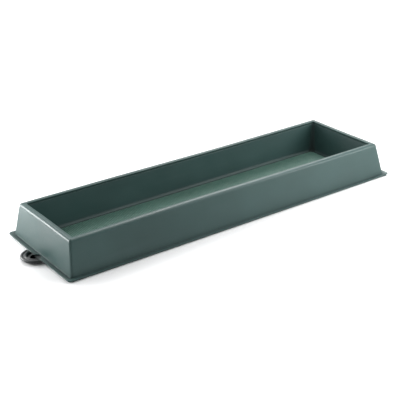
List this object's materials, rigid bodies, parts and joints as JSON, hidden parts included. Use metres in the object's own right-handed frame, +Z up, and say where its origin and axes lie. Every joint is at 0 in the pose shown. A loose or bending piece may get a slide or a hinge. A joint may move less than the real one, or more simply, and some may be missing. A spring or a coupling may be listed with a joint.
{
  "type": "sluice box",
  "caption": "Long hollow-walled plastic wash trough with a foot flange all round, a pull tab low on an end wall and a loose ribbed mat on its floor.",
  "frame": {"origin": "middle of the flat underside, below the middle of the trough; the pull tab isn't counted in that middle", "axes": "+X along the trough away from the pull tab, +Y across it, +Z up out of the channel"},
  "size_m": [1.0027, 0.308, 0.087],
  "materials": {
    "body_plastic": "dark green moulded plastic, satin gloss",
    "panel_plastic": "dark green moulded plastic, fine matt texture",
    "tab_plastic": "near-black moulded plastic, satin gloss",
    "mat_rubber": "green ribbed rubber, matt",
    "screw_steel": "plain stainless steel"
  },
  "bodies": {
    "trough": {"outer_shell": "body_plastic", "inner_tray": "body_plastic", "base_panel": "panel_plastic", "pull_tab": "tab_plastic", "base_screw_01": "screw_steel", "base_screw_02": "screw_steel", "base_screw_03": "screw_steel", "base_screw_04": "screw_steel", "base_screw_05": "screw_steel", "base_screw_06": "screw_steel", "base_screw_07": "screw_steel", "base_screw_08": "screw_steel", "base_screw_09": "screw_steel", "base_screw_10": "screw_steel", "base_screw_11": "screw_steel", "base_screw_12": "screw_steel", "base_screw_13": "screw_steel", "base_screw_14": "screw_steel", "tab_screw_01": "screw_steel", "tab_screw_02": "screw_steel"},
    "mat": {"floor_mat": "mat_rubber"}
  },
  "joints": [
    {"name": "mat_lift", "type": "slide", "parent": "trough", "child": "mat", "axis": [0, 0, 1], "range_m": [0, 0.1]}
  ]
}
